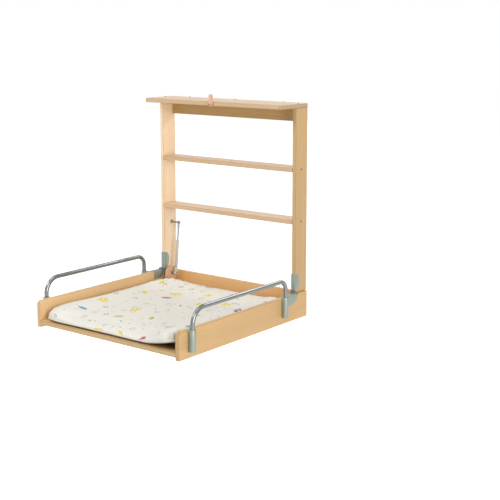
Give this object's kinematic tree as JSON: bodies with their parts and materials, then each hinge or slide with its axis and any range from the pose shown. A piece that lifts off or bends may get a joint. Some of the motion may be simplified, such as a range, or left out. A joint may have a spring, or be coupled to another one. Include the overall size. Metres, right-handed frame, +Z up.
{
  "type": "fold-down baby changing table",
  "caption": "Wall-mounted fold-down changing table: a wooden frame with shelves, and a hinged tray with side railings, a gas strut, a turn button and a padded mat.",
  "frame": {"origin": "middle of the wall rail's back face, on the wall plane", "axes": "+Y into the wall, +Z up, +X to the right of someone facing the wall; the tray folds down towards -Y"},
  "size_m": [0.8314, 0.836, 0.944],
  "materials": {
    "beech": "satin lacquer",
    "plated_steel": "satin grey",
    "dark_steel": "satin black",
    "tube_steel": "polished",
    "cylinder_paint": "gloss grey",
    "screw_caps": "matte",
    "mat_cover": "wipe-clean coated cloth"
  },
  "bodies": {
    "wall_frame": {"upright_left": "beech", "upright_right": "beech", "top_board": "beech", "wall_rail": "beech", "shelf_upper": "beech", "shelf_lower": "beech", "shelf_screw_upper_left": "screw_caps", "shelf_screw_upper_right": "screw_caps", "shelf_screw_lower_left": "screw_caps", "shelf_screw_lower_right": "screw_caps", "top_screw_upright_left": "screw_caps", "top_screw_rail_left": "screw_caps", "top_screw_rail_middle": "screw_caps", "top_screw_rail_right": "screw_caps", "top_screw_upright_right": "screw_caps", "hinge_cap_left": "plated_steel", "hinge_cap_right": "plated_steel", "hinge_pin_left": "dark_steel", "hinge_pin_right": "dark_steel", "strut_stud_upper": "dark_steel", "turn_button_screw": "dark_steel"},
    "tray": {"tray_rail_left": "beech", "tray_rail_right": "beech", "tray_rear_rail": "beech", "tray_floor": "beech", "railing_left": "tube_steel", "railing_right": "tube_steel", "railing_clip_left": "plated_steel", "railing_clip_right": "plated_steel", "railing_clip_screw_left": "screw_caps", "railing_clip_screw_right": "screw_caps", "hinge_bracket_left": "plated_steel", "hinge_bracket_right": "plated_steel", "strut_ear": "beech", "strut_stud_lower": "dark_steel", "changing_mat": "mat_cover"},
    "strut_upper": {"strut_end_upper": "dark_steel", "strut_rod": "tube_steel"},
    "strut_lower": {"strut_cylinder": "cylinder_paint", "strut_end_lower": "dark_steel"},
    "button": {"turn_button": "beech"}
  },
  "joints": [
    {"name": "tray_fold", "type": "hinge", "parent": "wall_frame", "child": "tray", "pos_m": [0, -0.084, -0.75], "axis": [-1, 0, 0], "range_deg": [0, 90]},
    {"name": "strut_swing", "type": "hinge", "parent": "wall_frame", "child": "strut_upper", "pos_m": [-0.3175, -0.032, -0.532], "axis": [-1, 0, 0], "range_deg": [0, 9.8]},
    {"name": "strut_extend", "type": "slide", "parent": "strut_upper", "child": "strut_lower", "axis": [0, -0.102, -0.9948], "range_m": [0, 0.0205]},
    {"name": "button_turn", "type": "hinge", "parent": "wall_frame", "child": "button", "pos_m": [0.012, -0.1913, 0.037], "axis": [0, -1, 0], "range_deg": [0, 180]}
  ],
  "couplings": [
    {"joint": "strut_swing", "follows": "tray_fold", "ratio": 0.10662},
    {"joint": "strut_extend", "follows": "tray_fold", "m_per_rad": 0.012731}
  ]
}
